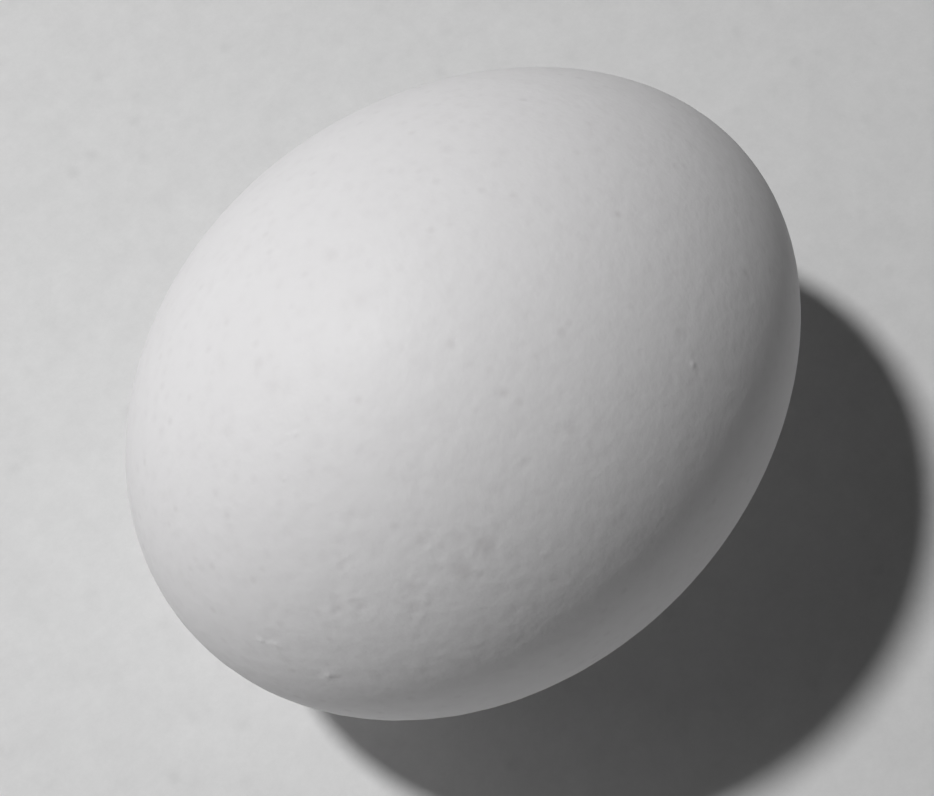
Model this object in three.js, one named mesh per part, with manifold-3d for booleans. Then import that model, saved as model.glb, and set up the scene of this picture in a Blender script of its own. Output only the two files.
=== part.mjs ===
// A hen's egg lying on its side, in millimetres.
//
// +Z is up, and the table is the plane Z = 0. The origin is the middle of the small flat spot that
// the egg rests on, straight below its centre of mass. The long axis lies in the XZ plane, with
// the small end toward +X. The egg is one solid of revolution, because it grows as one piece.

import * as THREE from "three";
import { mergeVertices } from "three/addons/utils/BufferGeometryUtils.js";
import Module from "manifold-3d";

// Size: from pole to pole, and across the widest ring.
const LENGTH = 55.6;
const BREADTH = 44.0;

// Shape, as the two coefficients of Preston's egg formula. BLUNTNESS moves the widest ring toward
// the blunt end, and FULLNESS, where it is negative, draws both ends in from those of an ellipsoid.
const BLUNTNESS = 0.037;
const FULLNESS = -0.018;

// How deep the flat spot is cut into the round shell.
const FLAT_DEPTH = 0.1;

// Facets: bands from pole to pole, and sides round each ring.
const BANDS = 56;
const SIDES = 80;

// Finish of a clean white shell: chalky, with a faint satin sheen.
const SHELL_COLOUR = 0xe8e6e4;
const SHELL_ROUGHNESS = 0.55;
const SHELL_METALNESS = 0;

// How finely the outline is searched and summed.
const QUARTER_TURN = Math.PI / 2;
const SEARCH_STEPS = 100;
const SUM_STEPS = 2000;

// The outline, by a running angle t that goes from the blunt pole at -90 degrees to the small
// pole at +90 degrees: the place along the axis, and the breadth there before it is scaled.
function along(t) {
  return (LENGTH / 2) * Math.sin(t);
}

function relativeRadius(t) {
  const s = Math.sin(t);
  return Math.cos(t) * (1 - BLUNTNESS * s + FULLNESS * s * s);
}

// Where a function with a single dip between low and high is lowest.
function lowestAt(f, low, high) {
  let from = low;
  let to = high;
  for (let step = 0; step < SEARCH_STEPS; step++) {
    const third = (to - from) / 3;
    if (f(from + third) < f(to - third)) to -= third;
    else from += third;
  }
  return (from + to) / 2;
}

const widest = lowestAt((t) => -relativeRadius(t), -QUARTER_TURN, QUARTER_TURN);
const radiusScale = BREADTH / 2 / relativeRadius(widest);

function radius(t) {
  return radiusScale * relativeRadius(t);
}

// The centre of mass along the axis, as the mean place of the egg's thin slices.
function centreOfMass() {
  let volume = 0;
  let moment = 0;
  for (let step = 0; step <= SUM_STEPS; step++) {
    const t = -QUARTER_TURN + (step / SUM_STEPS) * 2 * QUARTER_TURN;
    const slice = radius(t) ** 2 * Math.cos(t);
    volume += slice;
    moment += slice * along(t);
  }
  return moment / volume;
}

// An egg lies still on the ring of its outline that is nearest to its centre of mass. The line
// from that centre to the ring is then upright, which dips the small end by a few degrees.
const centre = centreOfMass();

function distanceFromCentre(t) {
  return Math.hypot(along(t) - centre, radius(t));
}

const restingOn = lowestAt(distanceFromCentre, -QUARTER_TURN / 2, QUARTER_TURN / 2);
const restingHeight = distanceFromCentre(restingOn);
const dip = Math.atan2(along(restingOn) - centre, radius(restingOn));

// The round shell, turned about its axis and laid down with its lowest point FLAT_DEPTH under
// the table.
function shellGeometry() {
  const outline = [];
  for (let band = 0; band <= BANDS; band++) {
    const atPole = band === 0 || band === BANDS;
    const t = -QUARTER_TURN + (band / BANDS) * 2 * QUARTER_TURN;
    outline.push(new THREE.Vector2(atPole ? 0 : radius(t), along(t) - centre));
  }
  const geometry = new THREE.LatheGeometry(outline, SIDES);
  geometry.rotateZ(-QUARTER_TURN);
  geometry.rotateY(dip);
  geometry.translate(0, 0, restingHeight - FLAT_DEPTH);
  return geometry;
}

// A block that fills the space just under the table.
function underTableGeometry() {
  const geometry = new THREE.BoxGeometry(LENGTH, BREADTH, BREADTH);
  geometry.translate(0, 0, -BREADTH / 2);
  return geometry;
}

const wasm = await Module();
wasm.setup();

function toSolid(geometry) {
  geometry.deleteAttribute("normal");
  geometry.deleteAttribute("uv");
  const merged = mergeVertices(geometry);
  return new wasm.Manifold(
    new wasm.Mesh({
      numProp: 3,
      vertProperties: merged.attributes.position.array,
      triVerts: new Uint32Array(merged.index.array),
    }),
  );
}

function toGeometry(solid) {
  const mesh = solid.getMesh();
  const geometry = new THREE.BufferGeometry();
  geometry.setAttribute("position", new THREE.BufferAttribute(mesh.vertProperties, 3));
  geometry.setIndex(new THREE.BufferAttribute(mesh.triVerts, 1));
  geometry.computeVertexNormals();
  return geometry;
}

function makeEgg() {
  const flattened = toSolid(shellGeometry()).subtract(toSolid(underTableGeometry()));
  const shellFinish = new THREE.MeshStandardMaterial({
    color: SHELL_COLOUR,
    roughness: SHELL_ROUGHNESS,
    metalness: SHELL_METALNESS,
  });
  const egg = new THREE.Mesh(toGeometry(flattened), shellFinish);
  egg.name = "egg";
  return egg;
}

const part = new THREE.Group();
part.add(makeEgg());

export default part;
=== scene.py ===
"""The looks of a hen's egg lying on a pale table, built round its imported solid.

The file is laid out as an add-on and run as a script. All lengths are in metres, +Z is up, and
the table is the plane Z = 0. The egg's small end points along +X.
"""

import math

import bmesh
import bpy
import numpy as np
from bpy.props import FloatProperty, FloatVectorProperty, IntProperty, PointerProperty, StringProperty
from bpy.types import Operator, Panel, PropertyGroup
from mathutils import Matrix, Vector, noise


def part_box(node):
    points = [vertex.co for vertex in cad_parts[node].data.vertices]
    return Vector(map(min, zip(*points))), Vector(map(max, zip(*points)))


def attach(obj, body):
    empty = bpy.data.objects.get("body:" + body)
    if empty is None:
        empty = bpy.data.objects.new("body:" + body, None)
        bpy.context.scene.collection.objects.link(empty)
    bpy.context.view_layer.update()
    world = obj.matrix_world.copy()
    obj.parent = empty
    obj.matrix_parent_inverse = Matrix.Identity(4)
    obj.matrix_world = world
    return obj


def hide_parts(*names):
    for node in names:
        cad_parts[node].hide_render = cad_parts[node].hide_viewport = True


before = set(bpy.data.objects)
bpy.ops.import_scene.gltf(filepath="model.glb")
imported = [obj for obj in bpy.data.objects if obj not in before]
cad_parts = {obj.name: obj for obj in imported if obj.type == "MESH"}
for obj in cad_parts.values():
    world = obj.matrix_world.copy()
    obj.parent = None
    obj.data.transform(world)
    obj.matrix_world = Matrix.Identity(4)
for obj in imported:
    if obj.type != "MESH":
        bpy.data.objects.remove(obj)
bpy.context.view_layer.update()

bl_info = {
    "name": "Hen's Egg",
    "version": (1, 0, 0),
    "blender": (4, 5, 0),
    "location": "View3D > Sidebar > Egg",
    "description": "Builds a white hen's egg with a chalky, pored shell, and the table and light round it",
    "category": "Add Mesh",
}

MM = 0.001
MICRON = 0.000001
QUARTER_TURN = math.pi / 2
EGG_NODE = "egg"

# Name of the mesh's layer that holds how dark each point of the shell is: its specks, pores and rough
# patch, painted shade in its pits and in the blunt end's dimples, and painted shadows beside two grains.
SPECKS_AND_SHADE = "darkness"


# ---------------------------------------------------------------------------
# Settings
# ---------------------------------------------------------------------------


class EggShapeSettings(PropertyGroup):
    """Overall size and outline of the egg."""

    length: FloatProperty(
        name="Length",
        description="From pole to pole",
        default=55.6 * MM,
        unit="LENGTH",
        precision=4,
    )
    breadth: FloatProperty(
        name="Breadth",
        description="Across the widest ring",
        default=44.0 * MM,
        unit="LENGTH",
        precision=4,
    )
    bluntness: FloatProperty(
        name="Bluntness",
        description="How far the widest ring leans toward the blunt end, in Preston's egg formula",
        default=0.037,
        precision=3,
    )
    fullness: FloatProperty(
        name="Fullness",
        description="Below zero draws both ends in from those of an ellipsoid",
        default=-0.018,
        precision=3,
    )
    flat_depth: FloatProperty(
        name="Flat Depth",
        description="How deep the flat spot under the egg is",
        default=0.1 * MM,
        unit="LENGTH",
        precision=5,
    )
    cells: IntProperty(
        name="Cells",
        description="Mesh cells along each edge of the cube that is rounded into the egg",
        default=112,
        min=8,
        max=120,
    )


class EggReliefSettings(PropertyGroup):
    """Fine relief that the shell carries as real geometry, and the shade painted into its pits."""

    swell_pitch: FloatProperty(
        name="Swell Pitch",
        description="Spacing of the broad, shallow unevenness of the shell",
        default=14.0 * MM,
        unit="LENGTH",
        precision=4,
    )
    swell_height: FloatProperty(
        name="Swell Height",
        description="Height of the broad unevenness",
        default=14 * MICRON,
        unit="LENGTH",
        precision=6,
    )
    peel_pitch: FloatProperty(
        name="Peel Pitch",
        description="Spacing of the orange-peel dimples",
        default=1.1 * MM,
        unit="LENGTH",
        precision=5,
    )
    peel_height: FloatProperty(
        name="Peel Height",
        description="Height of the orange-peel dimples",
        default=12 * MICRON,
        unit="LENGTH",
        precision=6,
    )
    pit_spacing: FloatProperty(
        name="Pit Spacing",
        description="Size of the space cells that hold a pit each, of which few cross the surface",
        default=1.2 * MM,
        unit="LENGTH",
        precision=5,
    )
    pit_radius: FloatProperty(
        name="Pit Radius",
        description="How far it is from a pit's middle to its rim",
        default=0.35 * MM,
        unit="LENGTH",
        precision=5,
    )
    pit_depth: FloatProperty(
        name="Pit Depth",
        description="Depth of the pits",
        default=9 * MICRON,
        unit="LENGTH",
        precision=6,
    )
    # Painted shade in the pits: the colour is darkened wherever the surface is sunk.
    pit_painted_shade: FloatProperty(
        name="Pit Darkness",
        description="How dark the pits are, from clean shell at 0 to the speck colour at 1",
        default=0.3,
        min=0.0,
        max=1.0,
        subtype="FACTOR",
    )
    blunt_gain: FloatProperty(
        name="Blunt Gain",
        description="How much more relief the blunt end has, as a share of that elsewhere",
        default=1.0,
        min=0.0,
    )
    grain_count: IntProperty(
        name="Grain Count",
        description="Grains of chalk scattered over the shell, besides the placed ones",
        default=10,
        min=0,
    )
    seed: IntProperty(
        name="Seed",
        description="Start of the random draws that scatter the grains",
        default=7,
    )


class ShellFinishSettings(PropertyGroup):
    """Colour and sheen of the shell."""

    chalk: StringProperty(
        name="Chalk",
        description="sRGB hex colour of clean shell",
        default="#ECEBEC",
    )
    # The same colour is used for the painted shade in the pits and dimples and for the painted shadows
    # beside two grains.
    speck: StringProperty(
        name="Speck",
        description="sRGB hex colour of the damp, see-through spots round pores",
        default="#DEDCDD",
    )
    pore_spacing: FloatProperty(
        name="Pore Spacing",
        description="Size of the space cells that hold a pore each, of which few cross the surface",
        default=1.5 * MM,
        unit="LENGTH",
        precision=5,
    )
    speck_radius: FloatProperty(
        name="Speck Radius",
        description="How far a pore's greyer speck reaches",
        default=0.5 * MM,
        unit="LENGTH",
        precision=5,
    )
    mottle_pitch: FloatProperty(
        name="Mottle Pitch",
        description="Spacing of the faint clouds in the shell's colour",
        default=4.0 * MM,
        unit="LENGTH",
        precision=5,
    )
    mottle_strength: FloatProperty(
        name="Mottle Strength",
        description="How far the clouds go from clean shell at 0 to the speck colour at 1",
        default=0.2,
        min=0.0,
        max=1.0,
        subtype="FACTOR",
    )
    grain_pitch: FloatProperty(
        name="Grain Pitch",
        description="Spacing of the shell's fine grain, drawn coarser than the real one so that it shows",
        default=0.55 * MM,
        unit="LENGTH",
        precision=5,
    )
    grain_height: FloatProperty(
        name="Grain Height",
        description="Height of the fine grain",
        default=19 * MICRON,
        unit="LENGTH",
        precision=6,
    )
    roughness: FloatProperty(
        name="Roughness",
        description="Roughness of the dry cuticle",
        default=0.6,
        min=0.0,
        max=1.0,
        subtype="FACTOR",
    )
    roughness_spread: FloatProperty(
        name="Roughness Spread",
        description="How far the clouds take the roughness up and down",
        default=0.08,
        min=0.0,
        max=0.5,
        subtype="FACTOR",
    )


class StudioSettings(PropertyGroup):
    """Table, light and camera."""

    table_colour: StringProperty(
        name="Table Colour",
        description="sRGB hex colour of the table",
        default="#E6E6E6",
    )
    fleck_colour: StringProperty(
        name="Fleck Colour",
        description="sRGB hex colour of the darkest flecks in the table's paper",
        default="#D9D9D9",
    )
    fleck_spacing: FloatProperty(
        name="Fleck Spacing",
        description="Size of the space cells that hold a fleck each, of which few cross the surface",
        default=3.0 * MM,
        unit="LENGTH",
        precision=5,
    )
    fleck_radius: FloatProperty(
        name="Fleck Radius",
        description="How far a fleck reaches",
        default=1.0 * MM,
        unit="LENGTH",
        precision=5,
    )
    mottle_pitch: FloatProperty(
        name="Mottle Pitch",
        description="Spacing of the faint clouds in the table's colour",
        default=4.0 * MM,
        unit="LENGTH",
        precision=5,
    )
    mottle_strength: FloatProperty(
        name="Mottle Strength",
        description="How far the clouds go from the table's colour at 0 to the fleck colour at 1",
        default=0.7,
        min=0.0,
        max=1.0,
        subtype="FACTOR",
    )
    table_roughness: FloatProperty(
        name="Table Roughness",
        description="Roughness of the laminate's clear coat",
        default=0.6,
        min=0.0,
        max=1.0,
        subtype="FACTOR",
    )
    table_radius: FloatProperty(
        name="Table Radius",
        description="Where the flat table begins to curve up into the backdrop",
        default=0.7,
        unit="LENGTH",
    )
    backdrop_curve: FloatProperty(
        name="Backdrop Curve",
        description="Radius of the curve between the table and the backdrop",
        default=0.4,
        unit="LENGTH",
    )
    backdrop_height: FloatProperty(
        name="Backdrop Height",
        description="Height of the backdrop's top edge",
        default=1.0,
        unit="LENGTH",
    )
    key_azimuth: FloatProperty(
        name="Key Azimuth",
        description="Direction of the key light round +Z, from +X",
        default=math.radians(117.4),
        unit="ROTATION",
    )
    key_elevation: FloatProperty(
        name="Key Elevation",
        description="Height of the key light above the table, as an angle",
        default=math.radians(59.7),
        unit="ROTATION",
    )
    key_distance: FloatProperty(
        name="Key Distance",
        description="From the egg's middle to the key light",
        default=0.6,
        unit="LENGTH",
    )
    key_diameter: FloatProperty(
        name="Key Diameter",
        description="Diameter of the key light's disc, which sets how soft the shadow's edge is",
        default=0.056,
        unit="LENGTH",
    )
    key_power: FloatProperty(
        name="Key Power",
        description="Power of the key light",
        default=2.6,
        unit="POWER",
    )
    window_azimuth: FloatProperty(
        name="Window Azimuth",
        description="Direction of the soft window light round +Z, from +X",
        default=math.radians(135),
        unit="ROTATION",
    )
    window_elevation: FloatProperty(
        name="Window Elevation",
        description="Height of the window light above the table, as an angle",
        default=math.radians(45),
        unit="ROTATION",
    )
    window_distance: FloatProperty(
        name="Window Distance",
        description="From the egg's middle to the window light",
        default=0.5,
        unit="LENGTH",
    )
    window_diameter: FloatProperty(
        name="Window Diameter",
        description="Diameter of the window light's disc",
        default=0.3,
        unit="LENGTH",
    )
    window_power: FloatProperty(
        name="Window Power",
        description="Power of the window light",
        default=0.145,
        unit="POWER",
    )
    card_azimuth: FloatProperty(
        name="Card Azimuth",
        description="Direction of the white card that throws light back on the blunt end",
        default=math.radians(195),
        unit="ROTATION",
    )
    card_elevation: FloatProperty(
        name="Card Elevation",
        description="Height of the card's middle above the table, as an angle",
        default=math.radians(18),
        unit="ROTATION",
    )
    card_distance: FloatProperty(
        name="Card Distance",
        description="From the egg's middle to the card",
        default=0.5,
        unit="LENGTH",
    )
    card_diameter: FloatProperty(
        name="Card Diameter",
        description="Diameter of the card",
        default=0.3,
        unit="LENGTH",
    )
    card_power: FloatProperty(
        name="Card Power",
        description="Power of the light that the card throws back",
        default=0.055,
        unit="POWER",
    )
    fill_strength: FloatProperty(
        name="Fill Strength",
        description="Brightness of the light that comes from all round",
        default=0.0095,
        min=0.0,
    )
    camera_azimuth: FloatProperty(
        name="Camera Azimuth",
        description="Direction of the camera round +Z, from +X",
        default=math.radians(221.7),
        unit="ROTATION",
    )
    camera_elevation: FloatProperty(
        name="Camera Elevation",
        description="Height of the camera above the table, as an angle",
        default=math.radians(70.5),
        unit="ROTATION",
    )
    camera_distance: FloatProperty(
        name="Camera Distance",
        description="From the egg's middle to the camera",
        default=0.14,
        unit="LENGTH",
        precision=4,
    )
    camera_roll: FloatProperty(
        name="Camera Roll",
        description="Turn of the camera about its own axis",
        default=math.radians(5.36),
        unit="ROTATION",
    )
    camera_lens: FloatProperty(
        name="Camera Lens",
        description="Focal length in millimetres, on a sensor 36 mm wide",
        default=71.8,
    )
    aim_offset: FloatVectorProperty(
        name="Aim Offset",
        description="How far right and up of the egg's middle the camera aims, in its own view",
        default=(-0.13 * MM, -0.78 * MM),
        size=2,
        unit="LENGTH",
        precision=5,
    )


# ---------------------------------------------------------------------------
# Colour and node helpers
# ---------------------------------------------------------------------------


def linear_colour(hex_colour):
    """RGBA in linear light from an sRGB hex colour such as #ECEBEC."""
    channels = [int(hex_colour[i : i + 2], 16) / 255 for i in (1, 3, 5)]
    linear = [c / 12.92 if c <= 0.04045 else ((c + 0.055) / 1.055) ** 2.4 for c in channels]
    return (*linear, 1.0)


def add_node(tree, kind, links=None, inputs=None, **settings):
    """A new node of that kind, with its settings, its input values, and links into its inputs."""
    node = tree.nodes.new(kind)
    for name, value in settings.items():
        setattr(node, name, value)
    for name, value in (inputs or {}).items():
        node.inputs[name].default_value = value
    for name, socket in (links or {}).items():
        tree.links.new(socket, node.inputs[name])
    return node


# ---------------------------------------------------------------------------
# The shell's shape
# ---------------------------------------------------------------------------

# Points along the outline at which the egg's breadth and centre of mass are worked out.
OUTLINE_SAMPLES = 20001


def relative_radius(sine, shape):
    """Radius at a station of the egg, over that of a sphere there, before it is scaled."""
    return 1 - shape.bluntness * sine + shape.fullness * sine**2


def radius_scale(shape):
    """The factor that makes the widest ring as broad as asked."""
    sine = np.sin(np.linspace(-QUARTER_TURN, QUARTER_TURN, OUTLINE_SAMPLES))
    widest = np.max(np.sqrt(1 - sine**2) * relative_radius(sine, shape))
    return shape.breadth / 2 / widest


def resting_pose(shape):
    """Matrix that lays an egg about the X axis down on its side, as its weight would.

    It lies on the ring that is nearest to its centre of mass, straight below that centre, so its
    small end dips. The flat spot then lies on the table, with its middle at the origin.
    """
    t = np.linspace(-QUARTER_TURN, QUARTER_TURN, OUTLINE_SAMPLES)
    x = shape.length / 2 * np.sin(t)
    r = radius_scale(shape) * np.cos(t) * relative_radius(np.sin(t), shape)
    slices = r**2 * np.cos(t)
    centre = float(np.sum(slices * x) / np.sum(slices))
    nearest = int(np.argmin(np.hypot(x - centre, r)))
    height = math.hypot(x[nearest] - centre, r[nearest])
    dip = math.atan2(x[nearest] - centre, r[nearest])
    lift = Matrix.Translation((0, 0, height - shape.flat_depth))
    return lift @ Matrix.Rotation(dip, 4, "Y") @ Matrix.Translation((-centre, 0, 0))


def egg_points(directions, shape):
    """Points of the egg about the X axis, for unit directions from a sphere's centre."""
    ring = radius_scale(shape) * relative_radius(directions[:, 0], shape)
    return np.column_stack(
        (shape.length / 2 * directions[:, 0], ring * directions[:, 1], ring * directions[:, 2])
    )


def unit_rows(rows):
    """The rows, each made 1 long."""
    return rows / np.linalg.norm(rows, axis=1, keepdims=True)


def rounded_cube(cells):
    """A cube with cells by cells faces a side, spread evenly over a sphere of radius 1."""
    bm = bmesh.new()
    bmesh.ops.create_cube(bm, size=2.0)
    bmesh.ops.subdivide_edges(bm, edges=bm.edges[:], cuts=cells - 1, use_grid_fill=True)
    for vertex in bm.verts:
        # The tangent keeps cells by the cube's edges about as wide as those amid its sides.
        vertex.co = Vector([math.tan(c * QUARTER_TURN / 2) for c in vertex.co]).normalized()
    return bm


def coordinates(mesh):
    """Where the mesh's vertices lie, a row each."""
    values = np.empty(len(mesh.vertices) * 3)
    mesh.vertices.foreach_get("co", values)
    return values.reshape(-1, 3)


def normals(mesh):
    """Which way the mesh's vertices face, a row each."""
    values = np.empty(len(mesh.vertices) * 3, dtype=np.float32)
    mesh.vertex_normals.foreach_get("vector", values)
    return values.reshape(-1, 3).astype(float)


# ---------------------------------------------------------------------------
# The shell's relief
# ---------------------------------------------------------------------------


def noise_height(points, pitch, offset):
    """Smooth noise from about -1 to 1 whose bumps are pitch apart, read at an offset of its own."""
    return np.array([noise.noise(Vector(p) / pitch + offset) for p in points])


def pits(points, spacing, radius):
    """How deep the points lie in round pits at scattered points of space, from 0 to 1."""
    distances = np.array([noise.voronoi(Vector(p) / spacing)[0][0] for p in points]) * spacing
    return np.exp(-((distances / radius) ** 2))


# Marks that can be told apart on the shell. Each is given by how many millimetres it lies toward
# the small end from the middle of the long axis, by how many degrees round that axis, from the
# top toward +Y, by its diameter in millimetres, by its height in microns, which is below zero
# for a hollow, and by how dark it is, from 0 for clean shell to 1 for the speck colour.
PLACED_MARKS = [
    # Sharp pores.
    (9.0, -7, 0.5, -12, 0.9),
    (15.0, -34, 0.6, -12, 0.8),
    (7.0, -31, 0.7, -8, 0.5),
    (-3.5, -30, 0.8, -12, 0.6),
    (-5.5, -18, 0.6, -10, 0.8),
    (-6.0, -6, 0.6, -8, 0.6),
    (-12.5, -2, 0.5, -8, 0.6),
    (-22.5, 4, 0.6, -10, 0.6),
    # Soft grey specks.
    (4.0, 24, 0.9, 0, 0.5),
    (-7.0, 22, 1.0, 0, 0.5),
    (-8.0, 11, 1.0, 0, 0.5),
    (-13.0, 8, 1.0, 0, 0.4),
    (-15.0, 19, 0.7, 0, 0.6),
    (-15.5, 13, 1.0, 0, 0.4),
    (-21.5, 39, 0.7, 0, 0.4),
    # A rough patch.
    (-12.0, -38, 1.3, -20, 0.9),
    (-13.0, -34, 0.8, -12, 0.6),
    (-14.0, -40, 1.3, -20, 0.9),
    # Dimples of the blunt end, darkened in colour as painted shade in the hollows.
    (-15.0, -30, 0.9, -12, 0.5),
    (-17.0, -38, 0.9, -14, 0.6),
    (-17.5, -43, 0.9, -14, 0.6),
    (-19.5, -26, 0.8, -12, 0.5),
    (-20.0, -37, 0.8, -12, 0.5),
    (-21.0, -35, 0.9, -14, 0.6),
    # Grains of chalk. The first and the last each have a darkened mark beside them that is their painted
    # shadow: a hollow beside the first and a flat mark beside the last.
    (6.5, -37, 0.5, 45, 0.0),
    (6.6, -39, 0.6, -15, 0.4),
    (-25.0, -42, 0.5, 35, 0.0),
    (-25.5, -39, 0.5, 35, 0.0),
    (-23.6, -60, 0.6, 50, 0.0),
    (-23.2, -62, 0.9, 0, 0.4),
]

# How far a mark's slope reaches, over its radius.
MARK_REACH = 2.2

# How many times the mesh round a mark is cut in half.
REFINE_PASSES = 2

# Smallest and largest radius and height of the scattered grains.
GRAIN_RADII = (0.12 * MM, 0.2 * MM)
GRAIN_HEIGHTS = (15 * MICRON, 35 * MICRON)


def all_marks(shape, relief):
    """Centre, radius, height and darkness of each mark, placed or scattered."""
    rng = np.random.default_rng(relief.seed)
    marks = []
    for along, around, diameter, height, darkness in PLACED_MARKS:
        sine = along * MM / (shape.length / 2)
        ring = math.sqrt(1 - sine**2)
        angle = math.radians(around)
        direction = np.array(((sine, ring * math.sin(angle), ring * math.cos(angle)),))
        centre = egg_points(direction, shape)[0]
        marks.append((centre, diameter / 2 * MM, height * MICRON, darkness))
    for _ in range(relief.grain_count):
        centre = egg_points(unit_rows(rng.normal(size=(1, 3))), shape)[0]
        marks.append((centre, rng.uniform(*GRAIN_RADII), rng.uniform(*GRAIN_HEIGHTS), 0.0))
    return marks


def mark_profiles(points, marks):
    """Heights and darkness that the marks give the points, as smooth mounds and hollows; the darkness
    holds specks and pores, painted shade in the dimples and painted shadows beside grains.
    """
    heights = np.zeros(len(points))
    darkness = np.zeros(len(points))
    for centre, radius, height, dark in marks:
        distance = np.linalg.norm(points - centre, axis=1)
        share = np.exp(-((distance / radius) ** 2))
        heights += height * share
        darkness = np.maximum(darkness, dark * share)
    return heights, darkness


def refine_round_marks(bm, marks, shape):
    """Cuts the mesh finer round the marks that stand proud or lie deep."""
    for _ in range(REFINE_PASSES):
        points = egg_points(unit_rows(np.array([v.co for v in bm.verts])), shape)
        near = np.zeros(len(points), dtype=bool)
        for centre, radius, height, _ in marks:
            if height:
                near |= np.linalg.norm(points - centre, axis=1) < MARK_REACH * radius
        bm.verts.ensure_lookup_table()
        faces = {f for i in np.flatnonzero(near).tolist() for f in bm.verts[i].link_faces}
        bm.edges.index_update()
        edges = sorted({e for f in faces for e in f.edges}, key=lambda edge: edge.index)
        bmesh.ops.subdivide_edges(bm, edges=edges, cuts=1, use_grid_fill=True)
    for vertex in bm.verts:
        vertex.co.normalize()


# Share of the way from the middle to the blunt end at which the dimples reach their full height.
FULL_RELIEF_AT = 0.6

# Where each layer of the relief reads the noise, so that no two of them repeat each other.
SWELL_OFFSET = Vector((2, 6, 5))
PEEL_OFFSET = Vector((3, 1, 4))
FINE_PEEL_OFFSET = Vector((1, 5, 9))


def shell_mesh(shape, relief):
    """The shell's mesh at rest on the table, with its relief and how dark each point of it is, which holds
    painted shade in the pits and dimples and painted shadows beside grains as well as the specks.
    """
    marks = all_marks(shape, relief)
    bm = rounded_cube(shape.cells)
    refine_round_marks(bm, marks, shape)
    mesh = bpy.data.meshes.new("shell")
    bm.to_mesh(mesh)
    bm.free()
    points = egg_points(unit_rows(coordinates(mesh)), shape)
    mesh.vertices.foreach_set("co", points.ravel())
    mesh.update()
    outward = normals(mesh)
    mark_height, darkness = mark_profiles(points, marks)
    swell = noise_height(points, relief.swell_pitch, SWELL_OFFSET)
    peel = noise_height(points, relief.peel_pitch, PEEL_OFFSET)
    fine_peel = noise_height(points, relief.peel_pitch / 2, FINE_PEEL_OFFSET)
    pitting = pits(points, relief.pit_spacing, relief.pit_radius)
    blunt = np.clip(-points[:, 0] / (FULL_RELIEF_AT * shape.length / 2), 0, 1)
    dimples = relief.peel_height * (peel + fine_peel / 2) - relief.pit_depth * pitting
    height = relief.swell_height * swell + (1 + relief.blunt_gain * blunt) * dimples + mark_height
    # Painted shade: the pits are darkened in colour as well as sunk.
    darkness = np.maximum(darkness, relief.pit_painted_shade * pitting)
    points += outward * height[:, None]
    mesh.vertices.foreach_set("co", points.ravel())
    mesh.transform(resting_pose(shape))
    settled = coordinates(mesh)
    settled[:, 2] = np.maximum(settled[:, 2], 0)
    mesh.vertices.foreach_set("co", settled.ravel())
    mesh.polygons.foreach_set("use_smooth", np.ones(len(mesh.polygons), dtype=bool))
    mesh.attributes.new(SPECKS_AND_SHADE, "FLOAT", "POINT").data.foreach_set("value", darkness)
    mesh.update()
    return mesh


# ---------------------------------------------------------------------------
# Materials
# ---------------------------------------------------------------------------

# A speck's random draw from 0 to 1, below which it doesn't show and above which it is full.
FAINT_DRAW = 0.3
FULL_DRAW = 0.9

# How dark a full speck is, from the clean colour at 0 to the dark one at 1.
FULL_SPECK = 0.65

# The noise texture's factor where its clouds begin, and where they are full.
CLOUD_EDGE = 0.3
CLOUD_CORE = 0.7

# How many finer and finer layers the clouds have, and how strong each is beside the last.
CLOUD_DETAIL = 5.0
CLOUD_ROUGHNESS = 0.85

GRAIN_DETAIL = 1.0
CALCITE_IOR = 1.5
LAMINATE_IOR = 1.5


def soft_specks(tree, place, spacing, radius):
    """Soft round specks at scattered points of space, as a factor from 0 to about 1."""
    points = add_node(
        tree,
        "ShaderNodeTexVoronoi",
        links={"Vector": place},
        inputs={"Scale": 1 / spacing},
    )
    spot = add_node(
        tree,
        "ShaderNodeMapRange",
        links={"Value": points.outputs["Distance"]},
        inputs={"From Min": 0.0, "From Max": radius / spacing, "To Min": 1.0, "To Max": 0.0},
        interpolation_type="SMOOTHSTEP",
    )
    strength = add_node(
        tree,
        "ShaderNodeMapRange",
        links={"Value": points.outputs["Color"]},
        inputs={"From Min": FAINT_DRAW, "From Max": FULL_DRAW, "To Min": 0.0, "To Max": FULL_SPECK},
    )
    specks = add_node(
        tree,
        "ShaderNodeMath",
        links={0: spot.outputs[0], 1: strength.outputs[0]},
        operation="MULTIPLY",
    )
    return specks.outputs[0]


def clouds(tree, place, pitch):
    """Faint clouds with finer and finer ones in them, as a factor round one half."""
    noise_texture = add_node(
        tree,
        "ShaderNodeTexNoise",
        links={"Vector": place},
        inputs={"Scale": 1 / pitch, "Detail": CLOUD_DETAIL, "Roughness": CLOUD_ROUGHNESS},
    )
    return noise_texture.outputs["Fac"]


def darkened(tree, clean, dark, specks, mottle, strength):
    """Colour between clean and dark, by the specks and by a mottle of the given strength."""
    mottled = add_node(
        tree,
        "ShaderNodeMapRange",
        links={"Value": mottle},
        inputs={"From Min": CLOUD_EDGE, "From Max": CLOUD_CORE, "To Min": 0.0, "To Max": strength},
    )
    darkness = add_node(
        tree,
        "ShaderNodeMath",
        links={0: specks, 1: mottled.outputs[0]},
        operation="ADD",
        use_clamp=True,
    )
    colour = add_node(
        tree,
        "ShaderNodeMix",
        links={"Factor": darkness.outputs[0]},
        data_type="RGBA",
    )
    colour.inputs["A"].default_value = linear_colour(clean)
    colour.inputs["B"].default_value = linear_colour(dark)
    return colour.outputs["Result"]


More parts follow.
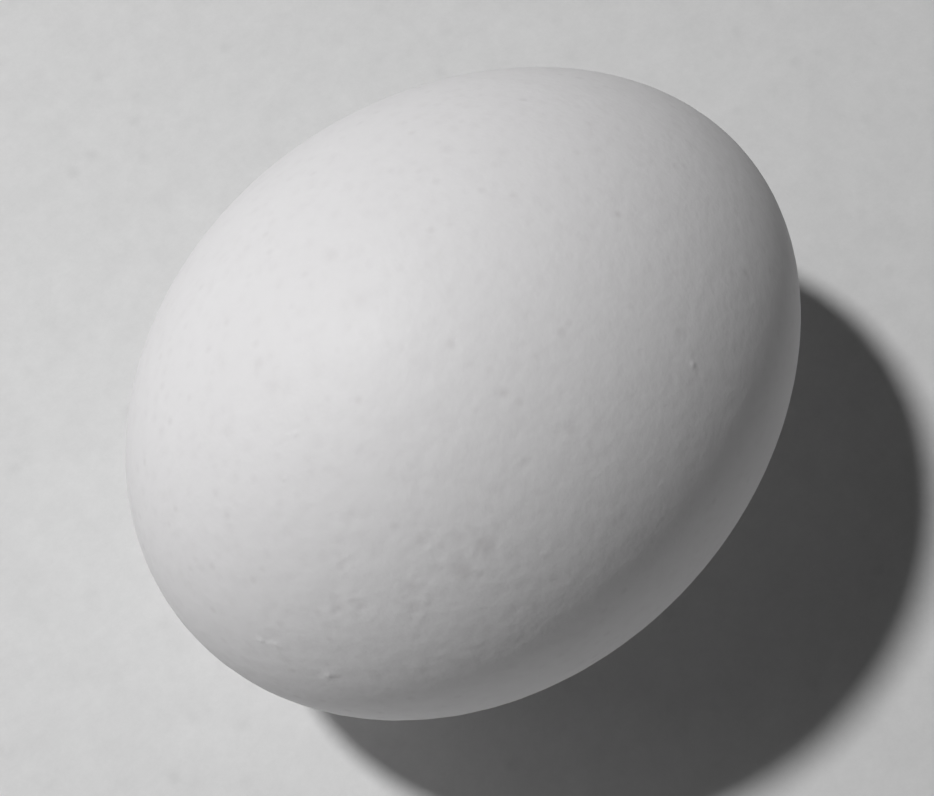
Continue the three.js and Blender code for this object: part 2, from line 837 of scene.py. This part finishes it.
def eggshell_calcite(finish):
    """Calcite shell laid down in the hen and dried under its thin cuticle.

    That gives the eye a chalky white with a faint satin sheen and a fine grain, and soft greyer
    specks round the pores, where the shell is damp and lets more light through. The mesh's darkness
    layer also brings painted shade into the pits and the blunt end's dimples, and painted shadows
    beside two grains.
    """
    material = bpy.data.materials.new("eggshell_calcite")
    material.use_nodes = True
    tree = material.node_tree
    tree.nodes.clear()
    place = add_node(tree, "ShaderNodeTexCoord").outputs["Object"]
    pores = soft_specks(tree, place, finish.pore_spacing, finish.speck_radius)
    # The mesh's layer: placed specks and pores, with painted shade in the pits and dimples and painted
    # shadows beside two grains.
    placed = add_node(tree, "ShaderNodeAttribute", attribute_name=SPECKS_AND_SHADE)
    specks = add_node(
        tree,
        "ShaderNodeMath",
        links={0: pores, 1: placed.outputs["Fac"]},
        operation="MAXIMUM",
    )
    mottle = clouds(tree, place, finish.mottle_pitch)
    strength = finish.mottle_strength
    colour = darkened(tree, finish.chalk, finish.speck, specks.outputs[0], mottle, strength)
    grain = add_node(
        tree,
        "ShaderNodeTexNoise",
        links={"Vector": place},
        inputs={"Scale": 1 / finish.grain_pitch, "Detail": GRAIN_DETAIL},
    )
    bump = add_node(
        tree,
        "ShaderNodeBump",
        links={"Height": grain.outputs["Fac"]},
        inputs={"Strength": 1.0, "Distance": finish.grain_height},
    )
    smoothest = finish.roughness - finish.roughness_spread
    roughest = finish.roughness + finish.roughness_spread
    roughness = add_node(
        tree,
        "ShaderNodeMapRange",
        links={"Value": mottle},
        inputs={"To Min": smoothest, "To Max": roughest},
    )
    shader = add_node(
        tree,
        "ShaderNodeBsdfPrincipled",
        links={"Base Color": colour, "Roughness": roughness.outputs[0], "Normal": bump.outputs[0]},
        inputs={"IOR": CALCITE_IOR},
    )
    add_node(tree, "ShaderNodeOutputMaterial", links={"Surface": shader.outputs["BSDF"]})
    return material


def table_laminate(studio):
    """Pale matt laminate, its paper pressed under a thin clear coat.

    That gives the eye a plain even grey with hardly any sheen, and the paper's faint mottle.
    """
    material = bpy.data.materials.new("table_laminate")
    material.use_nodes = True
    tree = material.node_tree
    tree.nodes.clear()
    place = add_node(tree, "ShaderNodeTexCoord").outputs["Object"]
    specks = soft_specks(tree, place, studio.fleck_spacing, studio.fleck_radius)
    mottle = clouds(tree, place, studio.mottle_pitch)
    strength = studio.mottle_strength
    colour = darkened(tree, studio.table_colour, studio.fleck_colour, specks, mottle, strength)
    shader = add_node(
        tree,
        "ShaderNodeBsdfPrincipled",
        links={"Base Color": colour},
        inputs={"IOR": LAMINATE_IOR, "Roughness": studio.table_roughness},
    )
    add_node(tree, "ShaderNodeOutputMaterial", links={"Surface": shader.outputs["BSDF"]})
    return material


# ---------------------------------------------------------------------------
# Stage
# ---------------------------------------------------------------------------

BACKDROP_SIDES = 96
CURVE_STEPS = 12
WELD_DISTANCE = 0.01 * MM
NEAREST_SEEN = 0.01
FARTHEST_SEEN = 10.0
WHITE = "#FFFFFF"


def table_and_backdrop(studio):
    """A round table top that curves up into a plain backdrop on every side."""
    curve = studio.backdrop_curve
    outline = [(0.0, 0.0), (studio.table_radius, 0.0)]
    for step in range(1, CURVE_STEPS + 1):
        angle = step / CURVE_STEPS * QUARTER_TURN
        outline.append((studio.table_radius + curve * math.sin(angle), curve * (1 - math.cos(angle))))
    outline.append((studio.table_radius + curve, studio.backdrop_height))
    bm = bmesh.new()
    verts = [bm.verts.new((radius, 0, z)) for radius, z in outline]
    edges = [bm.edges.new(pair) for pair in zip(verts, verts[1:])]
    bmesh.ops.spin(
        bm,
        geom=verts + edges,
        axis=(0, 0, 1),
        angle=math.tau,
        steps=BACKDROP_SIDES,
        use_merge=True,
    )
    bmesh.ops.remove_doubles(bm, verts=bm.verts[:], dist=WELD_DISTANCE)
    bmesh.ops.recalc_face_normals(bm, faces=bm.faces[:])
    mesh = bpy.data.meshes.new("table")
    bm.to_mesh(mesh)
    bm.free()
    mesh.polygons.foreach_set("use_smooth", np.ones(len(mesh.polygons), dtype=bool))
    mesh.materials.append(table_laminate(studio))
    table = bpy.data.objects.new("table", mesh)
    bpy.context.scene.collection.objects.link(table)
    return table


def direction_from(azimuth, elevation):
    """Unit vector from the middle toward what stands at that azimuth and elevation."""
    level = math.cos(elevation)
    return Vector((level * math.cos(azimuth), level * math.sin(azimuth), math.sin(elevation)))


def disc_light(name, studio, middle):
    """A round lamp that faces the egg, from the settings whose names begin with its own."""
    diameter, power, azimuth, elevation, distance = (
        getattr(studio, name + "_" + setting)
        for setting in ("diameter", "power", "azimuth", "elevation", "distance")
    )
    light = bpy.data.lights.new(name, "AREA")
    light.shape = "DISK"
    light.size = diameter
    light.energy = power
    toward = direction_from(azimuth, elevation)
    lamp = bpy.data.objects.new(name, light)
    lamp.location = middle + toward * distance
    lamp.rotation_euler = toward.to_track_quat("Z", "Y").to_euler()
    lamp.visible_camera = False
    bpy.context.scene.collection.objects.link(lamp)
    return lamp


def fill_light(studio):
    """Even white light from all round."""
    world = bpy.data.worlds.new("fill")
    world.use_nodes = True
    background = world.node_tree.nodes["Background"]
    background.inputs["Color"].default_value = linear_colour(WHITE)
    background.inputs["Strength"].default_value = studio.fill_strength
    bpy.context.scene.world = world
    return world


def camera(studio, middle):
    """The scene's camera, aimed beside the egg's middle by the aim offset."""
    data = bpy.data.cameras.new("camera")
    data.sensor_fit = "HORIZONTAL"
    data.lens = studio.camera_lens
    data.clip_start = NEAREST_SEEN
    data.clip_end = FARTHEST_SEEN
    toward = direction_from(studio.camera_azimuth, studio.camera_elevation)
    level = toward.to_track_quat("Z", "Y").to_matrix()
    turned = level @ Matrix.Rotation(studio.camera_roll, 3, "Z")
    place = middle + toward * studio.camera_distance
    aim = middle + turned @ Vector((*studio.aim_offset, 0))
    axis = (place - aim).normalized()
    view = axis.to_track_quat("Z", "Y").to_matrix() @ Matrix.Rotation(studio.camera_roll, 3, "Z")
    eye = bpy.data.objects.new("camera", data)
    eye.matrix_world = Matrix.Translation(place) @ view.to_4x4()
    bpy.context.scene.collection.objects.link(eye)
    bpy.context.scene.camera = eye
    return eye


# ---------------------------------------------------------------------------
# Operators, panel and registration
# ---------------------------------------------------------------------------


class EGG_OT_build_shell(Operator):
    """Build the egg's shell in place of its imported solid"""

    bl_idname = "egg.build_shell"
    bl_label = "Build Shell"

    def execute(self, context):
        scene = context.scene
        mesh = shell_mesh(scene.egg_shape, scene.egg_relief)
        mesh.materials.append(eggshell_calcite(scene.egg_finish))
        shell = bpy.data.objects.new("egg_shell", mesh)
        scene.collection.objects.link(shell)
        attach(shell, "root")
        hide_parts(EGG_NODE)
        return {"FINISHED"}


class EGG_OT_build_stage(Operator):
    """Build the table, the lights and the camera"""

    bl_idname = "egg.build_stage"
    bl_label = "Build Stage"

    def execute(self, context):
        scene = context.scene
        studio = scene.egg_studio
        low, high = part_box(EGG_NODE)
        middle = Vector((0, 0, (low.z + high.z) / 2))
        table_and_backdrop(studio)
        disc_light("key", studio, middle)
        disc_light("window", studio, middle)
        disc_light("card", studio, middle)
        fill_light(studio)
        camera(studio, middle)
        scene.view_settings.view_transform = "Standard"
        return {"FINISHED"}


class EGG_PT_panel(Panel):
    """Settings and build steps of the egg"""

    bl_idname = "EGG_PT_panel"
    bl_label = "Hen's Egg"
    bl_space_type = "VIEW_3D"
    bl_region_type = "UI"
    bl_category = "Egg"

    def draw(self, context):
        for group in ("egg_shape", "egg_relief", "egg_finish", "egg_studio"):
            settings = getattr(context.scene, group)
            box = self.layout.box()
            for name in settings.__annotations__:
                box.prop(settings, name)
        self.layout.operator(EGG_OT_build_shell.bl_idname)
        self.layout.operator(EGG_OT_build_stage.bl_idname)


CLASSES = (
    EggShapeSettings,
    EggReliefSettings,
    ShellFinishSettings,
    StudioSettings,
    EGG_OT_build_shell,
    EGG_OT_build_stage,
    EGG_PT_panel,
)


def register():
    for cls in CLASSES:
        bpy.utils.register_class(cls)
    bpy.types.Scene.egg_shape = PointerProperty(type=EggShapeSettings)
    bpy.types.Scene.egg_relief = PointerProperty(type=EggReliefSettings)
    bpy.types.Scene.egg_finish = PointerProperty(type=ShellFinishSettings)
    bpy.types.Scene.egg_studio = PointerProperty(type=StudioSettings)


def unregister():
    for name in ("egg_studio", "egg_finish", "egg_relief", "egg_shape"):
        delattr(bpy.types.Scene, name)
    for cls in reversed(CLASSES):
        bpy.utils.unregister_class(cls)


def main():
    """Builds the egg and its stage."""
    register()
    bpy.ops.egg.build_shell()
    bpy.ops.egg.build_stage()


if __name__ == "__main__":
    main()
